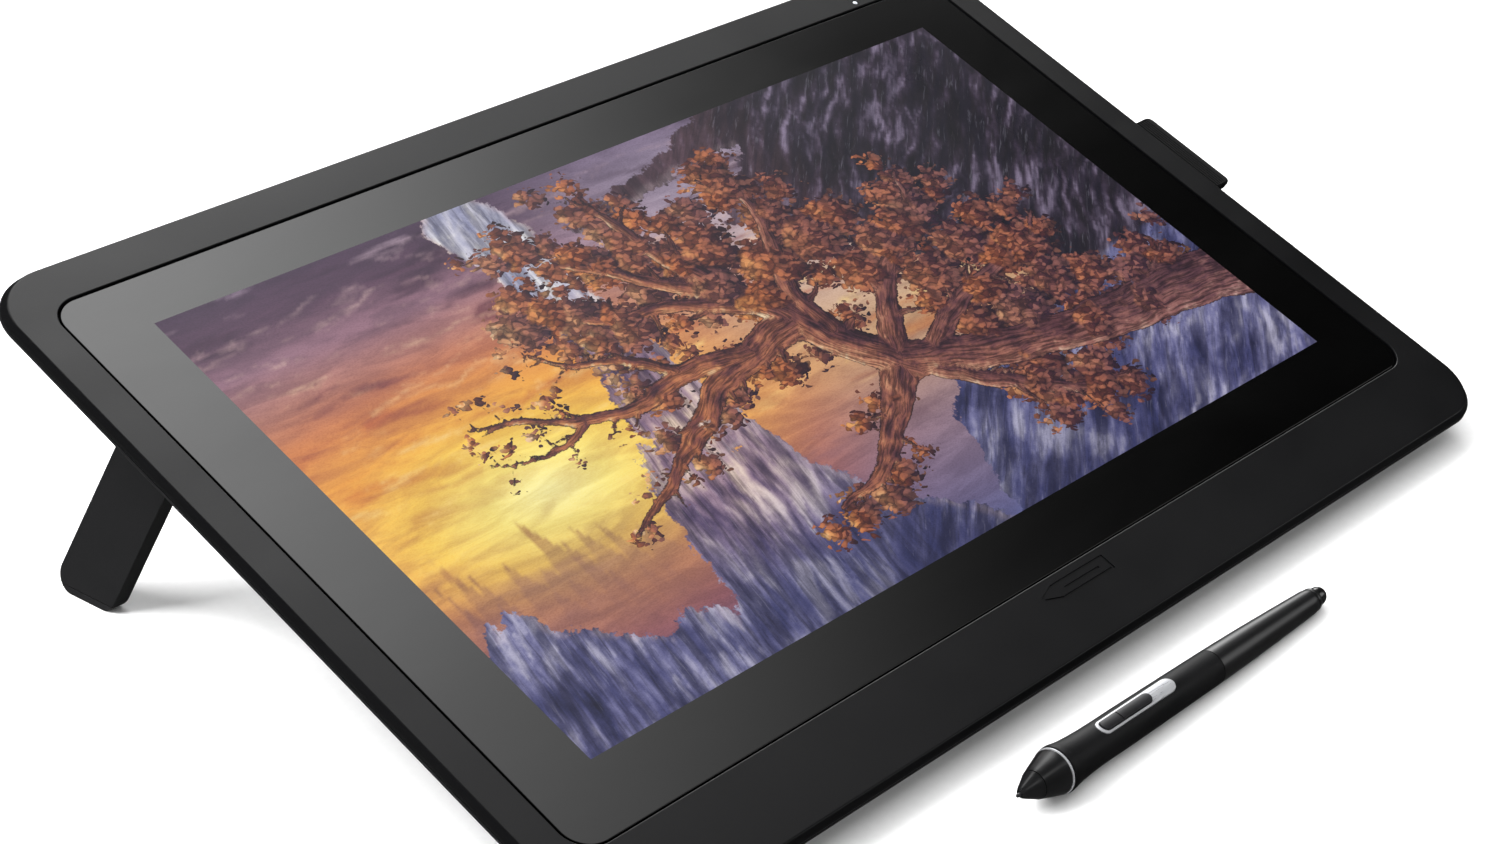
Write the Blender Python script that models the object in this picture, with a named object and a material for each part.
"""Pen display on fold-out legs with its pen.

Units are metres (MM = one millimetre), +Z up.  The row origin is the centre
of the flat contact face of the front rubber foot; +X runs to the right along
the tablet's long side and +Y runs away from the user.

The tablet is drawn in its own frame (empty "tablet_frame"): x right, y up the
slope of the screen, z out of the glass, z = 0 on the front frame's top face.
The pen is drawn in its own frame (empty "pen_frame"): x from the nib tip
towards the eraser, z out of the switch.
"""
import math

import bmesh
import bpy
from mathutils import Matrix, Vector

# ----------------------------------------------------------------- dimensions
MM = 0.001
GAP = 0.3                     # clearance between touching pieces

TILT = 19.0                   # slope of the screen, degrees
LIFT = 59.54                  # height of the tablet frame's origin
BACK = 108.0                  # distance of the tablet frame's origin behind the front foot

BODY_HX, BODY_HY = 211.0, 142.0          # half outline of the body (422 x 284)
BODY_R = 18.0                            # outline corner radius
TOP_INSET = 1.2                          # flat top face stops this far inside the outline
BEZEL_T = 3.1                            # front frame height
GLASS_HX, GLASS_HY, GLASS_R = 197.55, 119.05, 9.1
GLASS_CY = 6.27
GLASS_GAP = 0.65
GLASS_TOP, GLASS_T = -0.4, 1.8
ACTIVE_HX, ACTIVE_HY, ACTIVE_CY = 173.97, 97.86, 8.04

REAR_Z = -22.6                           # flat underside of the rear cover
# rear cover outside: inset from the outline, height
REAR_PROFILE = [(0.0, -3.4), (0.0, -4.6), (0.7, -5.2), (3.0, -8.2), (8.0, -12.5),
                (15.5, -17.6), (25.0, -21.0), (33.0, REAR_Z)]
REAR_INSIDE = [(2.6, -3.4), (2.6, -4.6), (3.4, -5.6), (5.4, -8.2), (10.4, -12.2),
               (17.8, -16.6), (26.6, -19.4), (34.0, -20.6)]

TRAY_HX, TRAY_HY = 197.2, 118.7
TRAY_WALL = 2.7
TRAY_FLANGE = 3.8

# legs
LEG_SPLAY = 18.0                         # outward lean of the open leg past square
LEG_W, LEG_T = 25.1, 5.5
HINGE_X, HINGE_Y, HINGE_Z = 170.93, 92.35, -18.9
PIN_R = 1.0
FOOT_R_BACK, FOOT_R_FRONT = 6.0, 4.0
PAD_T = 2.1
WELL_X0, WELL_X1 = 84.0, 175.45          # leg well, from the middle outwards
WELL_Y0, WELL_Y1 = 79.0, 105.7
WELL_Z = -15.7
WELL_BLOCK = (81.5, 178.5, 75.0, 109.7, -14.0)

# nib store in the floor of the left well
NIB_BOX = (-135.0, -100.0, 84.0, 101.0, -12.0)
NIB_BLOCK = (-137.0, -98.0, 82.0, 103.0, -10.4)

FRONT_FOOT = (150.0, 4.2, 2.4)           # half length, half width, height
REAR_PAD = (30.0, 75.0, 86.0, 96.0)
PAD_BOTTOM = -24.5

SCREWS = [(-150.0, -62.0), (0.0, -62.0), (150.0, -62.0),
          (-150.0, 40.0), (0.0, 58.0), (150.0, 40.0)]

LOOP_Y0, LOOP_Y1 = -12.9, 27.5
LOOP_OUT = 222.4

PORT_X, PORT_Z = 60.0, -12.5
BUTTON_X = 159.7
STATUS = (159.7, 128.6)

# pen: distance from the nib tip, radius
PEN_L = 156.0
PEN_TIP = (-82.10, -51.27, 7.93)
PEN_YAW, PEN_PITCH, PEN_ROLL = 0.78, 1.475, 12.0
NOSE_TIP = [(1.3, 1.25), (2.0, 1.75), (5.0, 3.15), (8.0, 4.45)]
NOSE_CONE = [(8.3, 4.55), (12.1, 5.75), (16.7, 7.05)]
RING = (16.95, 17.65, 7.2)
GRIP = [(17.9, 7.3), (18.9, 7.42), (20.4, 7.25), (22.4, 6.92), (25.0, 6.66), (28.4, 6.42),
        (33.0, 6.23), (38.0, 6.15), (48.0, 6.13), (58.0, 6.06), (68.0, 5.97), (80.0, 5.86),
        (93.9, 5.72)]
BARREL = [(94.2, 5.7), (103.0, 5.55), (112.0, 5.36), (120.0, 5.12), (128.0, 4.86),
          (135.0, 4.58), (141.0, 4.32), (145.5, 4.12), (148.6, 3.92)]
SWITCH_X0, SWITCH_X1, SWITCH_W = 35.8, 72.0, 5.3
ROCK_X0, ROCK_X1, ROCK_W = 37.2, 60.4, 3.6
ROCK_PIN_Z = 4.2
PEN_SEG = 20


# ------------------------------------------------------------------- helpers
def clear_scene():
    for ob in list(bpy.data.objects):
        bpy.data.objects.remove(ob, do_unlink=True)


def material(name, rgb, rough, metal=0.0, glow=None):
    mat = bpy.data.materials.new(name)
    mat.use_nodes = True
    bsdf = mat.node_tree.nodes["Principled BSDF"]
    bsdf.inputs["Base Color"].default_value = (*rgb, 1.0)
    bsdf.inputs["Roughness"].default_value = rough
    bsdf.inputs["Metallic"].default_value = metal
    if glow:
        bsdf.inputs["Emission Color"].default_value = (*glow, 1.0)
        bsdf.inputs["Emission Strength"].default_value = 1.0
    mat.diffuse_color = (*rgb, 1.0)
    return mat


def finish_object(name, bm, mat, parent=None, loc=(0, 0, 0), rot=(0, 0, 0), cutter=False):
    bmesh.ops.recalc_face_normals(bm, faces=bm.faces)
    mesh = bpy.data.meshes.new(name)
    bmesh.ops.scale(bm, vec=(MM, MM, MM), verts=bm.verts)
    bm.to_mesh(mesh)
    bm.free()
    if mat:
        mesh.materials.append(mat)
    ob = bpy.data.objects.new(name, mesh)
    bpy.context.scene.collection.objects.link(ob)
    ob.parent = parent
    ob.location = Vector(loc) * MM
    ob.rotation_euler = [math.radians(a) for a in rot]
    if cutter:
        ob.hide_render = True
        ob.display_type = 'WIRE'
    else:
        mesh.shade_smooth()
        mesh.set_sharp_from_angle(angle=math.radians(32))
    return ob


def boolean(ob, tool, op='DIFFERENCE', self_overlap=False):
    mod = ob.modifiers.new(op.lower(), 'BOOLEAN')
    mod.object = tool
    mod.operation = op
    mod.solver = 'EXACT'
    mod.use_self = self_overlap
    return mod


def rounded_rect(hx, hy, r, seg=6, cx=0.0, cy=0.0):
    pts = []
    for sx, sy, start in ((1, 1, 0), (-1, 1, 90), (-1, -1, 180), (1, -1, 270)):
        for i in range(seg + 1):
            a = math.radians(start + 90.0 * i / seg)
            pts.append((cx + sx * (hx - r) + r * math.cos(a), cy + sy * (hy - r) + r * math.sin(a)))
    return pts


def capsule(x0, x1, width, seg=6):
    """Outline with half-round ends, in x and y."""
    r = width / 2.0
    pts = []
    for cx, start in ((x1 - r, -90), (x0 + r, 90)):
        for i in range(seg + 1):
            a = math.radians(start + 180.0 * i / seg)
            pts.append((cx + r * math.cos(a), r * math.sin(a)))
    return pts


def loft(bm, rings, closed=False):
    """Skin between rings of equal length; caps the ends unless it closes on itself."""
    loops = [[bm.verts.new(p) for p in ring] for ring in rings]
    n = len(loops[0])
    pairs = list(zip(loops[:-1], loops[1:]))
    if closed:
        pairs.append((loops[-1], loops[0]))
    for a, b in pairs:
        for i in range(n):
            j = (i + 1) % n
            bm.faces.new((a[i], a[j], b[j], b[i]))
    if not closed:
        bm.faces.new(list(reversed(loops[0])))
        bm.faces.new(loops[-1])


def revolve(bm, profile, seg=PEN_SEG, closed=False, axis='X', centre=(0, 0, 0)):
    """Turn (distance, radius) points about an axis; radius 0 makes a pole."""
    c = Vector(centre)

    def point(t, r, k):
        a = 2.0 * math.pi * k / seg
        u, v = r * math.cos(a), r * math.sin(a)
        if axis == 'X':
            return c + Vector((t, u, v))
        if axis == 'Y':
            return c + Vector((u, t, v))
        return c + Vector((u, v, t))

    loops = []
    for t, r in profile:
        if r <= 1e-6:
            loops.append([bm.verts.new(point(t, 0.0, 0))])
        else:
            loops.append([bm.verts.new(point(t, r, k)) for k in range(seg)])
    pairs = list(zip(loops[:-1], loops[1:]))
    if closed:
        pairs.append((loops[-1], loops[0]))
    for a, b in pairs:
        for i in range(seg):
            j = (i + 1) % seg
            if len(a) == 1 and len(b) == 1:
                continue
            if len(a) == 1:
                bm.faces.new((a[0], b[j], b[i]))
            elif len(b) == 1:
                bm.faces.new((a[i], a[j], b[0]))
            else:
                bm.faces.new((a[i], a[j], b[j], b[i]))
    if not closed:
        if len(loops[0]) > 1:
            bm.faces.new(list(reversed(loops[0])))
        if len(loops[-1]) > 1:
            bm.faces.new(loops[-1])


def tube_profile(outer, inner):
    """Outer wall forwards, inner wall backwards: the section of a turned tube."""
    return list(outer) + list(reversed(inner))


def prism(bm, outline, z0, z1, plane='XY'):
    def put(p, z):
        if plane == 'XY':
            return (p[0], p[1], z)
        if plane == 'XZ':
            return (p[0], z, p[1])
        return (z, p[0], p[1])
    loft(bm, [[put(p, z0) for p in outline], [put(p, z1) for p in outline]])


def box(bm, x0, x1, y0, y1, z0, z1, bevel=0.0):
    before = set(bm.edges)
    loft(bm, [[(x0, y0, z), (x1, y0, z), (x1, y1, z), (x0, y1, z)] for z in (z0, z1)])
    if bevel:
        edges = [e for e in bm.edges if e not in before]
        bmesh.ops.bevel(bm, geom=edges, offset=bevel, segments=1, profile=0.5, affect='EDGES')


def rod(bm, axis, t0, t1, r, centre, seg=12):
    revolve(bm, [(t0, r), (t1, r)], seg=seg, axis=axis, centre=centre)


def make(name, mat, build, parent=None, loc=(0, 0, 0), rot=(0, 0, 0), cutter=False):
    bm = bmesh.new()
    build(bm)
    return finish_object(name, bm, mat, parent, loc, rot, cutter)


clear_scene()

# ----------------------------------------------------------------- materials
M_FRAME = material("matte_black_frame", (0.030, 0.030, 0.031), 0.55)
M_COVER = material("rear_cover_plastic", (0.022, 0.022, 0.023), 0.6)
M_GLASS = material("etched_glass", (0.012, 0.012, 0.013), 0.28)
M_LCD = material("screen", (0.35, 0.25, 0.22), 0.5, glow=(0.45, 0.3, 0.25))
M_LIGHT = material("light_guide", (0.8, 0.8, 0.78), 0.4)
M_BOARD = material("circuit_board", (0.02, 0.12, 0.05), 0.5)
M_STEEL = material("steel", (0.55, 0.55, 0.56), 0.35, 1.0)
M_RUBBER = material("rubber", (0.018, 0.018, 0.018), 0.8)
M_WEB = material("woven_elastic", (0.015, 0.015, 0.015), 0.9)
M_LENS = material("status_lens", (0.7, 0.72, 0.75), 0.2)
M_NIB = material("nib_plastic", (0.05, 0.05, 0.05), 0.4)
M_GRIP = material("pen_grip_rubber", (0.018, 0.018, 0.018), 0.6)
M_GLOSS = material("pen_gloss_black", (0.012, 0.012, 0.012), 0.25)
M_SILVER = material("pen_silver", (0.75, 0.75, 0.76), 0.25, 1.0)
M_COPPER = material("copper", (0.7, 0.35, 0.18), 0.35, 1.0)

# ------------------------------------------------------------- tablet frame
tablet = bpy.data.objects.new("tablet_frame", None)
bpy.context.scene.collection.objects.link(tablet)
tablet.location = (0.0, BACK * MM, LIFT * MM)
tablet.rotation_euler = (math.radians(TILT), 0.0, 0.0)


def ring_at(z, inset, radius=BODY_R):
    r = radius + 0.45 * inset
    return [(x, y, z) for x, y in rounded_rect(BODY_HX - inset, BODY_HY - inset, r)]


def glass_ring(z, grow):
    return [(x, y, z) for x, y in rounded_rect(GLASS_HX + grow, GLASS_HY + grow, GLASS_R + grow,
                                               cy=GLASS_CY)]


# front frame: one ring with a chamfered outer lip
def bezel(bm):
    loft(bm, [ring_at(0.0, TOP_INSET), ring_at(-0.35, 0.55), ring_at(-1.2, 0.0),
              ring_at(-BEZEL_T, 0.0), glass_ring(-BEZEL_T, GLASS_GAP),
              glass_ring(-0.25, GLASS_GAP), glass_ring(0.0, GLASS_GAP + 0.25)], closed=True)


front_bezel = make("front_bezel", M_FRAME, bezel, tablet)
boolean(front_bezel, make("cut_status_hole", None, lambda bm: rod(
    bm, 'Z', -6.0, 3.0, 1.25, (*STATUS, 0.0)), tablet, cutter=True))

make("status_lens", M_LENS, lambda bm: rod(bm, 'Z', -2.8, -0.08, 0.92, (*STATUS, 0.0)), tablet)

make("cover_glass", M_GLASS, lambda bm: loft(bm, [
    glass_ring(GLASS_TOP, -0.3), glass_ring(GLASS_TOP - 0.3, 0.0),
    glass_ring(GLASS_TOP - GLASS_T, 0.0)]), tablet)

make("lcd_panel", M_LCD, lambda bm: box(
    bm, -ACTIVE_HX - 2, ACTIVE_HX + 2, ACTIVE_CY - ACTIVE_HY - 2.5, ACTIVE_CY + ACTIVE_HY + 2.5,
    -4.1, -2.5), tablet)
make("backlight_plate", M_LIGHT, lambda bm: box(
    bm, -ACTIVE_HX - 3, ACTIVE_HX + 3, ACTIVE_CY - ACTIVE_HY - 3, ACTIVE_CY + ACTIVE_HY + 3,
    -7.0, -4.4), tablet)
make("digitizer_board", M_BOARD, lambda bm: box(
    bm, -ACTIVE_HX - 7, ACTIVE_HX + 7, ACTIVE_CY - ACTIVE_HY - 7, ACTIVE_CY + ACTIVE_HY + 7,
    -7.9, -7.3), tablet)


# chassis tray: walls under the glass edge, a flange under the front frame, screw bosses
def tray(bm):
    def r(z, grow):
        return [(x, y, z) for x, y in rounded_rect(TRAY_HX + grow, TRAY_HY + grow,
                                                   GLASS_R + max(grow, -TRAY_WALL), seg=4, cy=GLASS_CY)]
    loft(bm, [r(-8.2, -TRAY_WALL), r(-2.5, -TRAY_WALL), r(-2.5, 0.0), r(-3.4, 0.0),
              r(-3.4, TRAY_FLANGE), r(-4.6, TRAY_FLANGE), r(-4.6, 0.0), r(-9.4, 0.0)])


chassis_tray = make("chassis_tray", M_STEEL, tray, tablet)


def bosses(bm):
    for x, y in SCREWS:
        rod(bm, 'Z', -16.5, -8.9, 3.2, (x, y, 0.0))


def boss_bores(bm):
    for x, y in SCREWS:
        rod(bm, 'Z', -18.0, -10.6, 1.4, (x, y, 0.0), seg=10)


boolean(chassis_tray, make("add_bosses", None, bosses, tablet, cutter=True), 'UNION')
boolean(chassis_tray, make("cut_boss_bores", None, boss_bores, tablet, cutter=True))


# rear cover: thin shell with leg wells, nib pocket, foot and pad recesses
def cover(bm):
    rings = [ring_at(z, i) for i, z in reversed(REAR_INSIDE)]
    rings += [ring_at(z, i) for i, z in REAR_PROFILE]
    loft(bm, rings)


def cover_blocks(bm):
    x0, x1, y0, y1, z = WELL_BLOCK
    box(bm, x0, x1, y0, y1, -21.6, z)
    box(bm, -x1, -x0, y0, y1, -21.6, z)
    a, b, c, d, e = NIB_BLOCK
    box(bm, a, b, c, d, -16.0, e)


def cover_cuts(bm):
    for s in (-1, 1):
        xs = sorted((s * WELL_X0, s * WELL_X1))
        box(bm, xs[0], xs[1], WELL_Y0, WELL_Y1, -30.0, WELL_Z)
        xs = sorted((s * 163.2, s * 174.6))
        box(bm, xs[0], xs[1], 86.9, 97.8, -16.5, -14.9)             # detent spring seat
        rod(bm, 'Y', 77.0, 107.7, PIN_R + GAP, (s * HINGE_X, 0.0, HINGE_Z))
        xs = sorted((s * (REAR_PAD[0] - GAP), s * (REAR_PAD[1] + GAP)))
        box(bm, xs[0], xs[1], REAR_PAD[2] - GAP, REAR_PAD[3] + GAP, -30.0, -21.5)
    for x, y in SCREWS:
        rod(bm, 'Z', -30.0, -21.3, 2.8, (x, y, 0.0))
        rod(bm, 'Z', -22.0, -19.0, 1.5, (x, y, 0.0), seg=10)
    a, b, c, d, e = NIB_BOX
    box(bm, a, b, c, d, -16.5, e)
    box(bm, PORT_X - 7.6, PORT_X + 7.6, 118.0, 150.0, PORT_Z - 2.9, PORT_Z + 2.9)
    box(bm, BUTTON_X - 6.0, BUTTON_X + 6.0, 133.0, 150.0, -8.2, -5.0)
    box(bm, 204.0, 216.0, LOOP_Y0 - 0.6, LOOP_Y1 + 0.6, -6.7, -2.0)


rear_cover = make("rear_cover", M_COVER, cover, tablet)
boolean(rear_cover, make("add_cover_blocks", None, cover_blocks, tablet, cutter=True), 'UNION', True)
boolean(rear_cover, make("cut_cover", None, cover_cuts, tablet, cutter=True), 'DIFFERENCE', True)
hx, hy, hz = FRONT_FOOT
boolean(rear_cover, make("cut_front_foot", None, lambda bm: box(
    bm, -hx - GAP, hx + GAP, -hy - GAP, hy + GAP, -5.0, hz + GAP), cutter=True))

make("front_foot", M_RUBBER, lambda bm: box(bm, -hx, hx, -hy, hy, 0.0, hz, 0.5))
for side, s in (("left", -1), ("right", 1)):
    xs = sorted((s * REAR_PAD[0], s * REAR_PAD[1]))
    make("rear_pad_" + side, M_RUBBER, lambda bm: box(
        bm, xs[0], xs[1], REAR_PAD[2], REAR_PAD[3], PAD_BOTTOM, -21.8, 0.5), tablet)

for k, (x, y) in enumerate(SCREWS, 1):
    make("case_screw_%d" % k, M_STEEL, lambda bm: revolve(
        bm, [(-22.5, 1.9), (-22.3, 2.3), (-21.6, 2.3), (-21.6, 1.1), (-11.2, 1.1), (-10.9, 0.7)],
        seg=12, axis='Z', centre=(x, y, 0.0)), tablet)

# boards and the cable port
make("main_board", M_BOARD, lambda bm: box(bm, 14.0, 134.0, 64.5, 114.6, -13.1, -11.5), tablet)


def port(bm):
    x0, x1 = PORT_X - 7.2, PORT_X + 7.2
    z0, z1 = PORT_Z - 2.6, PORT_Z + 2.6
    box(bm, x0, x1, 115.2, 129.6, z0, z1)


cable_port = make("cable_port", M_STEEL, port, tablet)
boolean(cable_port, make("cut_port", None, lambda bm: box(
    bm, PORT_X - 6.5, PORT_X + 6.5, 119.5, 140.0, PORT_Z - 2.0, PORT_Z + 2.0), tablet, cutter=True))


# power button: a pill through the rear wall with a keeper flange behind it
def button(bm):
    out = [(x, z) for x, z in rounded_rect(5.6, 1.25, 1.2, seg=3, cx=BUTTON_X, cy=-6.6)]
    wide = [(x, z) for x, z in rounded_rect(7.4, 2.0, 0.6, seg=3, cx=BUTTON_X, cy=-6.6)]
    top = [(x, z) for x, z in rounded_rect(5.2, 0.85, 0.8, seg=3, cx=BUTTON_X, cy=-6.6)]
    loft(bm, [[(x, y, z) for x, z in o] for y, o in
              ((133.9, wide), (135.4, wide), (135.4, out), (140.9, out), (141.3, top))])


make("power_button", M_GLOSS, button, tablet)

# ------------------------------------------------------------------ pen loop
def loop_outer(bm):
    pts = [(201.8, -3.9), (211.5, -3.9), (213.0, -2.5), (219.6, -2.3), (221.4, -2.7),
           (LOOP_OUT - 0.2, -3.4), (LOOP_OUT, -4.2), (LOOP_OUT - 0.2, -5.0), (221.4, -5.7),
           (219.6, -6.1), (211.5, -6.3), (201.8, -6.3)]
    prism(bm, pts, LOOP_Y0, LOOP_Y1, 'XZ')


def loop_inner(bm):
    pts = [(212.6, -4.2), (214.4, -3.7), (219.4, -3.6), (220.7, -3.9), (221.0, -4.3),
           (220.7, -4.6), (219.4, -4.8), (214.4, -4.9), (212.6, -4.6)]
    prism(bm, pts, LOOP_Y0 - 5, LOOP_Y1 + 5, 'XZ')


pen_loop = make("pen_loop", M_WEB, loop_outer, tablet)
boolean(pen_loop, make("cut_loop", None, loop_inner, tablet, cutter=True))
make("loop_clamp", M_STEEL, lambda bm: box(
    bm, 199.6, 205.2, LOOP_Y0, LOOP_Y1, -8.1, -6.6), tablet)


# ---------------------------------------------------------------------- legs
def foot_drop(x, y):
    """Leg-frame height of the table plane at leg coordinates x (thickness), y (width)."""
    t, s = math.radians(TILT), math.radians(LEG_SPLAY)
    num = -LIFT - (HINGE_Y + y) * math.sin(t) - HINGE_Z * math.cos(t) + x * math.sin(s) * math.cos(t)
    return num / (math.cos(t) * math.cos(s))


def leg_blade(bm):
    """Thickness section with a round hinge end, drawn across the width."""
    r = LEG_T / 2.0
    pts = [(r * math.cos(math.pi * i / 8), r * math.sin(math.pi * i / 8)) for i in range(9)]
    pts += [(-r, -110.0), (r, -110.0)]
    prism(bm, pts, -LEG_W, LEG_W, 'XZ')


def leg_outline(bm, mirror):
    """Width outline with rounded foot corners; its end lies in the table plane."""
    hw = LEG_W / 2.0

    def ring(x):
        slope = (foot_drop(x, hw) - foot_drop(x, -hw)) / (2 * hw)
        pts = [(-hw, 8.0), (hw, 8.0)]
        for cy, rr, a0, a1 in ((hw, FOOT_R_BACK, 0.0, -90.0), (-hw, FOOT_R_FRONT, -90.0, -180.0)):
            sgn = 1 if cy > 0 else -1
            tilt = math.degrees(math.atan(slope))
            # circle tangent to the side and to the slanted end
            yc = cy - sgn * rr
            zc = foot_drop(x, yc) + rr / math.cos(math.radians(tilt))
            if sgn > 0:
                b0, b1 = 0.0, -90.0 + tilt
            else:
                b0, b1 = -90.0 + tilt, -180.0
            for i in range(7):
                a = math.radians(b0 + (b1 - b0) * i / 6.0)
                pts.append((yc + rr * math.cos(a), zc + rr * math.sin(a)))
        return [(x if not mirror else -x, y, z) for y, z in pts]

    loft(bm, [ring(-6.0), ring(6.0)])


for side, s in (("left", -1), ("right", 1)):
    place = dict(parent=tablet, loc=(s * HINGE_X, HINGE_Y, HINGE_Z), rot=(0.0, -s * LEG_SPLAY, 0.0))
    outline = make("cut_%s_outline" % side, None, lambda bm: leg_outline(bm, s > 0), cutter=True, **place)
    bore = make("cut_%s_bore" % side, None, lambda bm: rod(
        bm, 'Y', -20.0, 20.0, PIN_R + GAP, (0, 0, 0)), cutter=True, **place)
    leg = make(side + "_leg", M_COVER, leg_blade, **place)
    boolean(leg, outline, 'INTERSECT')
    boolean(leg, bore)
    xs = sorted((s * 150.0, s * 250.0))
    boolean(leg, make("cut_%s_foot" % side, None, lambda bm: box(
        bm, xs[0], xs[1], 150.0, 300.0, -60.0, PAD_T + GAP), cutter=True))
    pad = make(side + "_leg_pad", M_RUBBER, leg_blade, **place)
    boolean(pad, outline, 'INTERSECT')
    boolean(pad, make("cut_%s_top" % side, None, lambda bm: box(
        bm, xs[0] - 50, xs[1] + 50, 100.0, 400.0, PAD_T, 300.0), cutter=True))
    make(side + "_hinge_pin", M_STEEL, lambda bm: rod(
        bm, 'Y', 77.3, 107.4, PIN_R, (s * HINGE_X, 0.0, HINGE_Z)), tablet)

    def leaf(bm):
        ins, out = s * 163.5, s * 174.3
        mid = (ins + out) / 2.0
        a, b = (ins, out) if s > 0 else (out, ins)
        top = [(a, -15.2), (mid, -15.45), (b, -15.2)]
        low = [(b, -15.55), (mid, -15.8), (a, -15.55)]
        prism(bm, top + low, 87.3, 97.4, 'XZ')
    make(side + "_detent_spring", M_STEEL, leaf, tablet)


# ----------------------------------------------------------------- nib store
def holder(bm):
    a, b, c, d, e = NIB_BOX
    box(bm, a + GAP, b - GAP, c + GAP, d - GAP, -15.4, e - GAP)


def holder_cuts(bm):
    for k in range(3):
        y = 87.4 + 4.0 * k
        box(bm, -133.0, -115.4, y - 1.2, y + 1.2, -18.0, -13.1)
    rod(bm, 'Z', -18.0, -13.1, 4.6, (-107.6, 91.4, 0.0), seg=16)


nib_holder = make("nib_holder", M_RUBBER, holder, tablet)
boolean(nib_holder, make("cut_holder", None, holder_cuts, tablet, cutter=True))
for k in range(3):
    make("spare_nib_%d" % (k + 1), M_NIB, lambda bm: revolve(
        bm, [(-132.6, 0.3), (-131.9, 0.62), (-129.0, 0.85), (-116.0, 0.85)], seg=10, axis='X',
        centre=(0.0, 87.4 + 4.0 * k, -14.3)), tablet)
make("nib_ring", M_STEEL, lambda bm: revolve(
    bm, tube_profile([(-15.2, 4.2), (-13.4, 4.2)], [(-15.2, 2.9), (-13.4, 2.9)]), seg=16,
    closed=True, axis='Z', centre=(-107.6, 91.4, 0.0)), tablet)

# ----------------------------------------------------------------------- pen
pen = bpy.data.objects.new("pen_frame", None)
bpy.context.scene.collection.objects.link(pen)
pen.location = Vector(PEN_TIP) * MM
pen.rotation_euler = (Matrix.Rotation(math.radians(PEN_YAW), 3, 'Z')
                      @ Matrix.Rotation(math.radians(PEN_PITCH), 3, 'Y')
                      @ Matrix.Rotation(math.radians(PEN_ROLL), 3, 'X')).to_euler()

NIB_R = 0.8
make("pen_nib", M_NIB, lambda bm: revolve(
    bm, [(0.0, 0.0), (0.12, 0.3), (0.5, 0.52), (1.1, 0.62), (3.0, NIB_R), (27.6, NIB_R)], seg=12), pen)
make("pen_nose_tip", M_GLOSS, lambda bm: revolve(
    bm, tube_profile(NOSE_TIP, [(1.3, 1.05), (4.0, 1.15), (8.0, 1.2)]), closed=True), pen)
make("pen_nose_cone", M_GLOSS, lambda bm: revolve(
    bm, tube_profile(NOSE_CONE, [(8.3, 1.2), (11.0, 1.3), (16.7, 5.0)]), closed=True), pen)
make("pen_ring", M_SILVER, lambda bm: revolve(
    bm, tube_profile([(RING[0], RING[2]), (RING[1], RING[2] + 0.05)],
                     [(RING[0], 5.0), (RING[1], 5.0)]), closed=True), pen)

capsule_cut = capsule(SWITCH_X0 - GAP, SWITCH_X1 + GAP, SWITCH_W + 2 * GAP)
grip = make("pen_grip", M_GRIP, lambda bm: revolve(
    bm, tube_profile(GRIP, [(17.9, 4.6), (93.9, 4.4)]), closed=True), pen)
boolean(grip, make("cut_grip", None, lambda bm: prism(bm, capsule_cut, 2.0, 12.0), pen, cutter=True))

barrel = make("pen_rear_barrel", M_GLOSS, lambda bm: revolve(
    bm, tube_profile(BARREL, [(94.2, 4.3), (118.0, 4.0), (136.0, 3.45), (148.6, 3.45)]), closed=True), pen)
make("pen_end_collar", M_GLOSS, lambda bm: revolve(
    bm, tube_profile([(148.9, 3.95), (150.2, 3.85), (150.6, 3.7)], [(148.9, 3.45), (150.6, 3.45)]),
    closed=True), pen)
make("pen_eraser", M_GLOSS, lambda bm: revolve(
    bm, [(139.0, 1.4), (147.0, 1.4), (147.0, 3.15), (151.8, 3.15), (153.6, 2.9), (154.9, 2.3),
         (155.7, 1.3), (PEN_L, 0.0)]), pen)


def wrap(bm, radius, x0, x1):
    rod(bm, 'X', x0, x1, radius, (0, 0, 0), seg=32)


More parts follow.
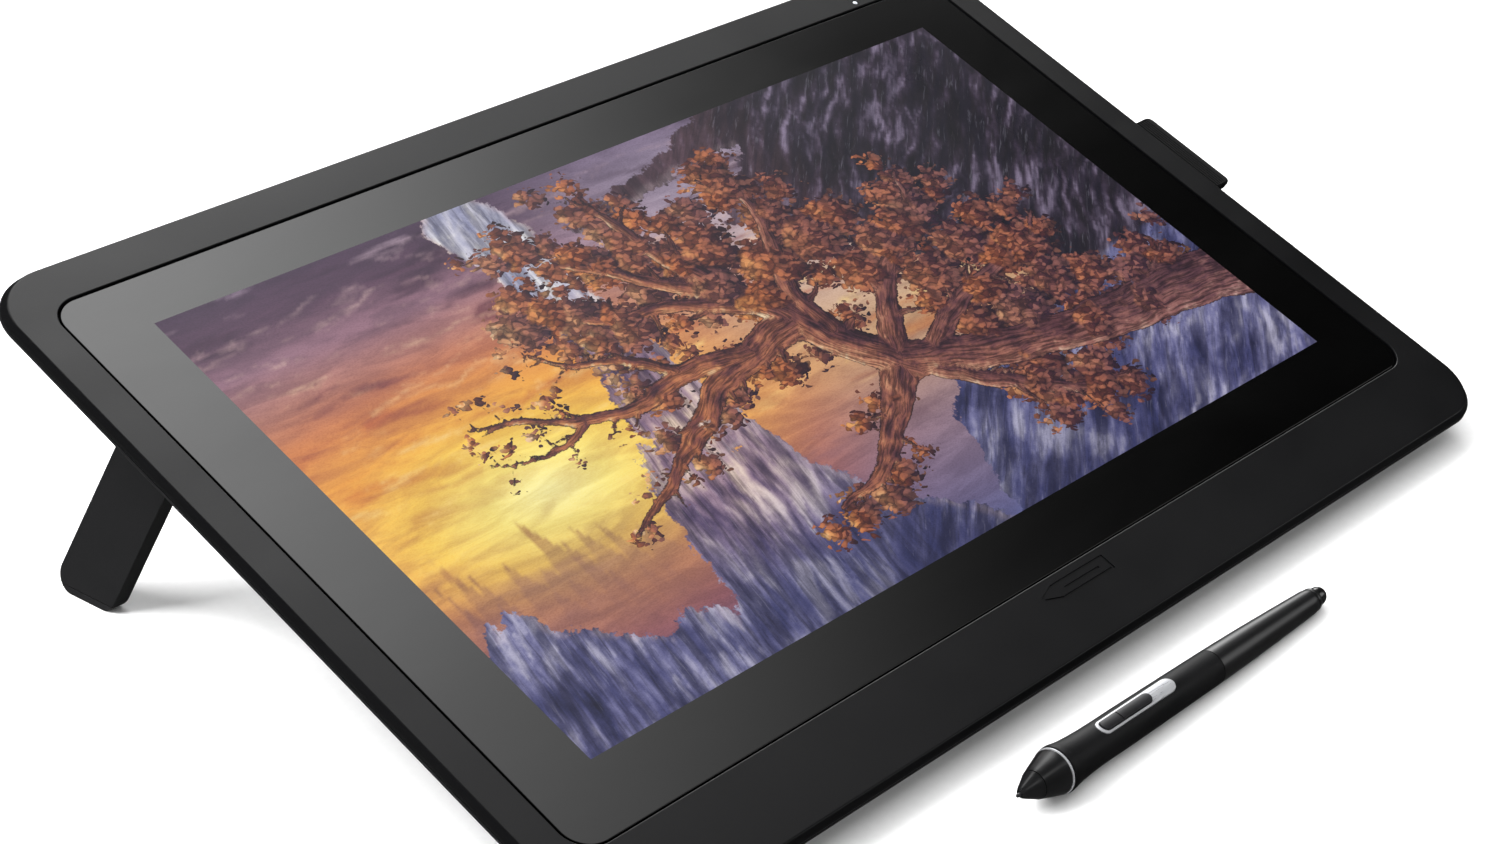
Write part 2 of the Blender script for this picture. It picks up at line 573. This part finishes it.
# switch bezel: capsule plate cut to the barrel's curve, open for the rocker
bezel_body = make("pen_switch_bezel", M_SILVER, lambda bm: prism(
    bm, capsule(SWITCH_X0, SWITCH_X1, SWITCH_W), 3.6, 9.0), pen)
boolean(bezel_body, make("cut_bezel_wrap", None, lambda bm: wrap(bm, 6.35, 30.0, 80.0), pen, cutter=True),
        'INTERSECT')
boolean(bezel_body, make("cut_bezel_open", None, lambda bm: prism(
    bm, capsule(ROCK_X0 - GAP, ROCK_X1 + GAP, ROCK_W + 2 * GAP), 2.0, 12.0), pen, cutter=True))
rock_mid = (ROCK_X0 + ROCK_X1) / 2.0
rocker = make("pen_rocker", M_GLOSS, lambda bm: prism(
    bm, [(x - rock_mid, y) for x, y in capsule(ROCK_X0, ROCK_X1, ROCK_W)],
    3.1 - ROCK_PIN_Z, 9.0 - ROCK_PIN_Z), pen, loc=(rock_mid, 0.0, ROCK_PIN_Z))
boolean(rocker, make("cut_rocker_wrap", None, lambda bm: wrap(bm, 6.85, 30.0, 80.0), pen, cutter=True),
        'INTERSECT')
boolean(rocker, make("cut_rocker_pin", None, lambda bm: rod(
    bm, 'Y', -6.0, 6.0, 0.75, (rock_mid, 0.0, ROCK_PIN_Z), seg=10), pen, cutter=True))
boolean(bezel_body, make("cut_bezel_pin", None, lambda bm: rod(
    bm, 'Y', -2.55, 2.55, 0.75, (rock_mid, 0.0, ROCK_PIN_Z), seg=10), pen, cutter=True))
make("pen_rocker_pin", M_STEEL, lambda bm: rod(
    bm, 'Y', -2.3, 2.3, 0.45, (rock_mid, 0.0, ROCK_PIN_Z), seg=10), pen)

make("pen_coil", M_COPPER, lambda bm: revolve(
    bm, tube_profile([(18.4, 3.6), (27.0, 3.6)], [(18.4, 1.2), (27.0, 1.2)]), closed=True, seg=16), pen)
make("pen_pressure_sensor", M_STEEL, lambda bm: revolve(
    bm, [(28.6, 3.4), (34.0, 3.4)], seg=16), pen)
make("pen_board", M_BOARD, lambda bm: box(bm, 34.4, 128.0, -2.4, 2.4, -0.6, 0.6), pen)
